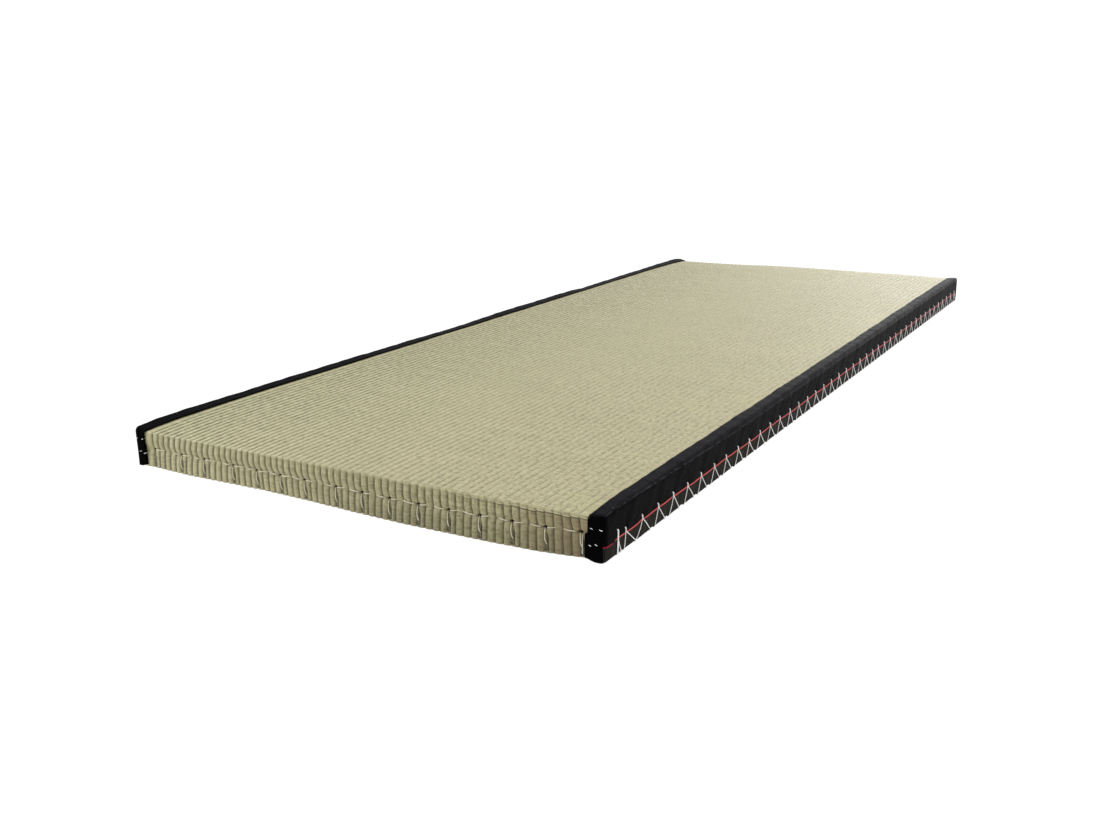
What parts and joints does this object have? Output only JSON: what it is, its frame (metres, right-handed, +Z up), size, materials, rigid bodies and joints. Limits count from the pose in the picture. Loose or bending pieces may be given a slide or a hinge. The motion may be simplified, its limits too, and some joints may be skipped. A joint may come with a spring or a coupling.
{
  "type": "tatami mat",
  "caption": "Flat rectangular floor mat in a cover of woven rush with lengthwise ribs and a sewn black cotton border along each long side, for sitting, sleeping or laying a bed on.",
  "frame": {"origin": "on the floor, under the centre of the mat", "axes": "+X across the mat, +Y along its length and its ribs, +Z up"},
  "size_m": [0.8, 2, 0.0623],
  "materials": {
    "rush": "dry woven rush, pale green and straw, with a faint sheen along the stems",
    "border_cotton": "matt black cotton with a greyer selvage and one woven red line",
    "sewing_thread": "twisted undyed cotton thread"
  },
  "bodies": {
    "root": {"rush_mat": "rush", "border_cloth_right": "border_cotton", "border_cloth_left": "border_cotton"}
  },
  "joints": []
}
